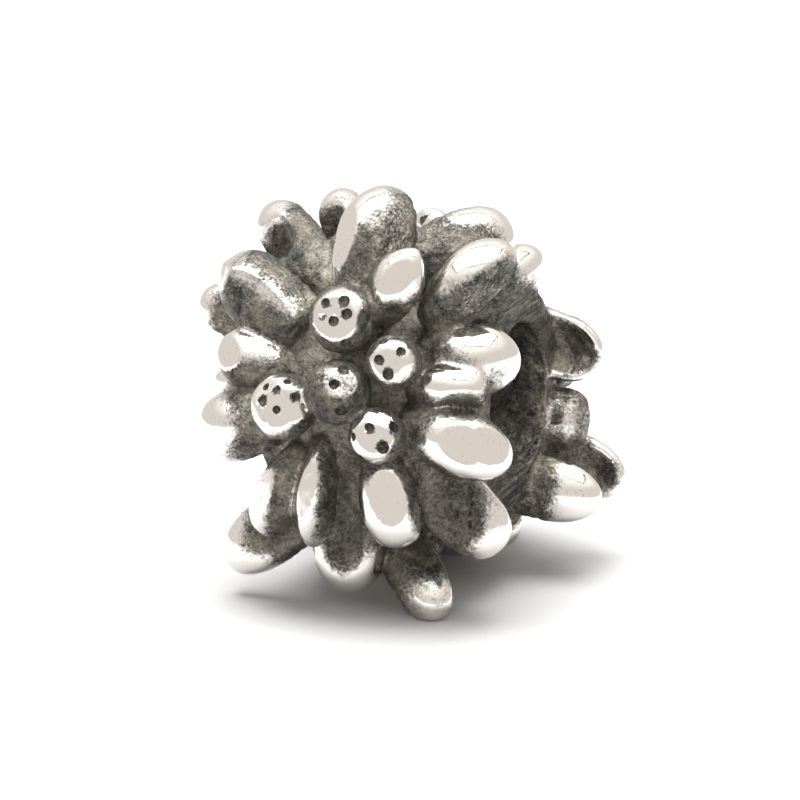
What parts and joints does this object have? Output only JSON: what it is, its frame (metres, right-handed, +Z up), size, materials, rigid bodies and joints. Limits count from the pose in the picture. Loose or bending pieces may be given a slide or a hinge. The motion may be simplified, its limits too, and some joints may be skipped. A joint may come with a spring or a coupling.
{
  "type": "silver flower bead",
  "caption": "Cast bracelet bead: edelweiss blooms back to back round a short barrel with a wide bore, petals and pitted florets polished over blackened hollows.",
  "frame": {"origin": "centre of the bounding box's base, on the plane the bead stands on", "axes": "+Z up; X along the bore; the front bloom looks towards -Y and slightly up, the back bloom towards +Y"},
  "size_m": [0.0105, 0.0126, 0.0117],
  "materials": {
    "oxidised_silver": "polished"
  },
  "bodies": {
    "root": {"flower_bead": "oxidised_silver"}
  },
  "joints": []
}
